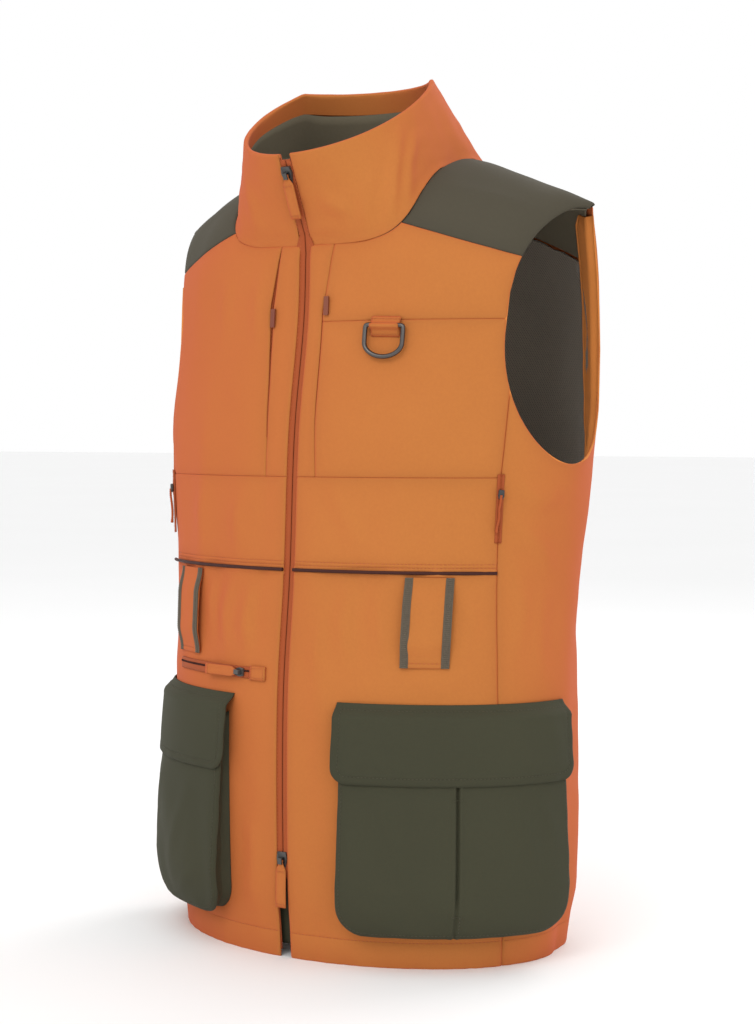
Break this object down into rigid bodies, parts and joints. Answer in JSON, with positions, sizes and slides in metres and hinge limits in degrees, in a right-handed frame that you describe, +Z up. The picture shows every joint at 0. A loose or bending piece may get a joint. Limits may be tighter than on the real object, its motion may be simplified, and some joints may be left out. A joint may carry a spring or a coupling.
{
  "type": "field vest",
  "caption": "Blaze orange field vest with olive yokes, stand collar, two-way front zip, bellows pockets with flaps, gear loops and a chest D-ring.",
  "frame": {"origin": "middle of the vest's box, at the height of the hem", "axes": "+Z up, the front faces -Y, +X is the wearer's left"},
  "size_m": [0.43, 0.288, 0.7554],
  "materials": {
    "orange_cloth": "brushed tricot, matte",
    "olive_cloth": "plain weave, matte",
    "mesh_lining": "open mesh, matte",
    "zip_tape": "woven tape",
    "piping": "corded, satin",
    "ribbed_tape": "ribbed tape",
    "black_enamel": "semi-gloss",
    "gunmetal": "satin"
  },
  "bodies": {
    "vest": {"front_lower_left": "orange_cloth", "front_middle_left": "orange_cloth", "placket_left": "orange_cloth", "front_chest_left": "orange_cloth", "front_upper_left": "orange_cloth", "side_panel_left": "orange_cloth", "yoke_left": "olive_cloth", "armhole_facing_left": "orange_cloth", "chest_zip_left": "zip_tape", "side_zip_left": "zip_tape", "waist_piping_left": "piping", "gear_loop_left": "orange_cloth", "gear_loop_inner_tape_left": "ribbed_tape", "gear_loop_outer_tape_left": "ribbed_tape", "pocket_front_left": "olive_cloth", "pocket_gusset_left": "olive_cloth", "front_lower_right": "orange_cloth", "front_middle_right": "orange_cloth", "placket_right": "orange_cloth", "front_chest_right": "orange_cloth", "side_panel_right": "orange_cloth", "yoke_right": "olive_cloth", "armhole_facing_right": "orange_cloth", "chest_zip_right": "zip_tape", "side_zip_right": "zip_tape", "waist_piping_right": "piping", "gear_loop_right": "orange_cloth", "gear_loop_inner_tape_right": "ribbed_tape", "gear_loop_outer_tape_right": "ribbed_tape", "pocket_front_right": "olive_cloth", "pocket_gusset_right": "olive_cloth", "back_panel": "orange_cloth", "collar": "orange_cloth", "collar_lining": "olive_cloth", "hem_facing": "orange_cloth", "lining_front_left": "mesh_lining", "yoke_lining_left": "olive_cloth", "lining_front_right": "mesh_lining", "yoke_lining_right": "olive_cloth", "lining_back": "mesh_lining", "zip_tape_left": "zip_tape", "zip_tape_right": "zip_tape", "zip_coil": "zip_tape", "zip_guard": "olive_cloth", "map_zip": "zip_tape", "map_zip_end_tab": "orange_cloth", "ring_tab": "orange_cloth"},
    "top_slider": {"top_slider": "black_enamel"},
    "top_pull": {"top_pull": "orange_cloth"},
    "bottom_slider": {"bottom_slider": "black_enamel"},
    "bottom_pull": {"bottom_pull": "orange_cloth"},
    "d_ring": {"d_ring": "gunmetal"},
    "chest_slider_left": {"chest_slider_left": "piping"},
    "chest_slider_right": {"chest_slider_right": "piping"},
    "side_slider_left": {"side_slider_left": "black_enamel"},
    "side_slider_right": {"side_slider_right": "black_enamel"},
    "map_slider": {"map_slider": "black_enamel"},
    "map_pull": {"map_pull": "orange_cloth"},
    "pocket_flap_left": {"pocket_flap_left": "olive_cloth"},
    "pocket_flap_right": {"pocket_flap_right": "olive_cloth"}
  },
  "joints": [
    {"name": "top_slider_slide", "type": "slide", "parent": "vest", "child": "top_slider", "axis": [0, 0.4176, -0.9086], "range_m": [0, 0.02]},
    {"name": "top_pull_hinge", "type": "hinge", "parent": "top_slider", "child": "top_pull", "pos_m": [0, -0.123, 0.66504], "axis": [-1, 0, 0], "range_deg": [0, 150]},
    {"name": "bottom_slider_slide", "type": "slide", "parent": "vest", "child": "bottom_slider", "axis": [0, -0.0066, 1], "range_m": [0, 0.09]},
    {"name": "bottom_pull_hinge", "type": "hinge", "parent": "bottom_slider", "child": "bottom_pull", "pos_m": [0, -0.13217, 0.08398], "axis": [-1, 0, 0], "range_deg": [0, 150]},
    {"name": "d_ring_hinge", "type": "hinge", "parent": "vest", "child": "d_ring", "pos_m": [0.08253, -0.09694, 0.5376], "axis": [-0.9751, -0.2217, 0], "range_deg": [0, 120]},
    {"name": "chest_slider_left_slide", "type": "slide", "parent": "vest", "child": "chest_slider_left", "axis": [0, -0.102, -0.9948], "range_m": [0, 0.03]},
    {"name": "chest_slider_right_slide", "type": "slide", "parent": "vest", "child": "chest_slider_right", "axis": [0, -0.1224, -0.9925], "range_m": [0, 0.03]},
    {"name": "side_slider_left_slide", "type": "slide", "parent": "vest", "child": "side_slider_left", "axis": [-0.0493, -0.0128, -0.9987], "range_m": [0, 0.015]},
    {"name": "side_slider_right_slide", "type": "slide", "parent": "vest", "child": "side_slider_right", "axis": [0.0493, -0.0128, -0.9987], "range_m": [0, 0.015]},
    {"name": "map_slider_slide", "type": "slide", "parent": "vest", "child": "map_slider", "axis": [-0.9868, 0.1621, 0], "range_m": [0, 0.03]},
    {"name": "map_pull_hinge", "type": "hinge", "parent": "map_slider", "child": "map_pull", "pos_m": [-0.04762, -0.13055, 0.24237], "axis": [0.0116, 0.0708, 0.9974], "range_deg": [0, 120]},
    {"name": "pocket_flap_left_hinge", "type": "hinge", "parent": "vest", "child": "pocket_flap_left", "pos_m": [0.14908, -0.0861, 0.22301], "axis": [-0.7915, -0.6112, 0], "range_deg": [0, 15]},
    {"name": "pocket_flap_right_hinge", "type": "hinge", "parent": "vest", "child": "pocket_flap_right", "pos_m": [-0.14908, -0.0861, 0.22301], "axis": [-0.7915, 0.6112, 0], "range_deg": [0, 15]}
  ]
}
